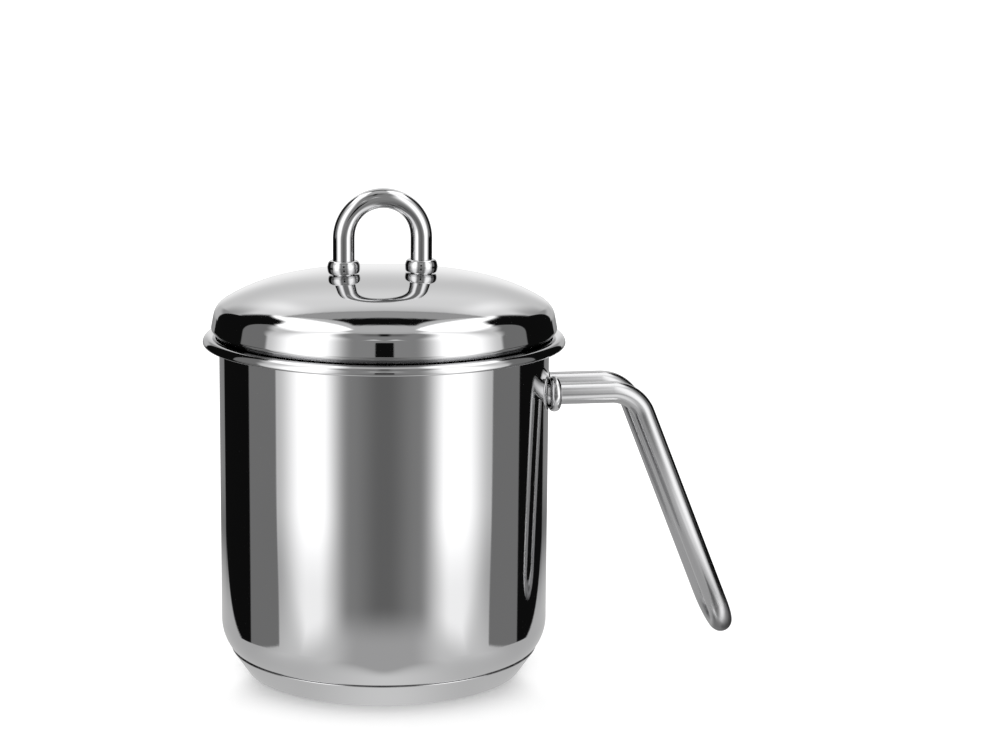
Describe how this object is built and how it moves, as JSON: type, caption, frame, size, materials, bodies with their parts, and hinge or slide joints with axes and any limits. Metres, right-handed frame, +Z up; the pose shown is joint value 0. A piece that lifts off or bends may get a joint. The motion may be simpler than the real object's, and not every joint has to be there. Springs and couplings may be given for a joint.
{
  "type": "milk boiler",
  "caption": "Straight-sided stainless steel pan with a rolled rim, a domed lid that lifts off, an arched tube knob and a bent tube handle.",
  "frame": {"origin": "centre of the base's underside, on the plane that the pan stands on", "axes": "+Z up along the pan's axis, +X along the handle, away from the pan"},
  "size_m": [0.2337, 0.1552, 0.2097],
  "materials": {
    "polished_steel": "stainless steel polished to a mirror, with faint polishing lines round it",
    "core_aluminium": "plain rolled disc"
  },
  "bodies": {
    "pan": {"pan_shell": "polished_steel", "base_core": "core_aluminium", "base_capsule": "polished_steel", "handle_loop": "polished_steel", "handle_collar_right": "polished_steel", "handle_collar_left": "polished_steel", "handle_weld_plug_right": "polished_steel", "handle_weld_plug_left": "polished_steel"},
    "lid": {"lid_shell": "polished_steel", "knob_loop": "polished_steel", "knob_collar_back": "polished_steel", "knob_collar_front": "polished_steel", "knob_weld_plug_back": "polished_steel", "knob_weld_plug_front": "polished_steel"}
  },
  "joints": [
    {"name": "lid_lift", "type": "slide", "parent": "pan", "child": "lid", "axis": [0, 0, 1], "range_m": [0, 0.12]}
  ]
}
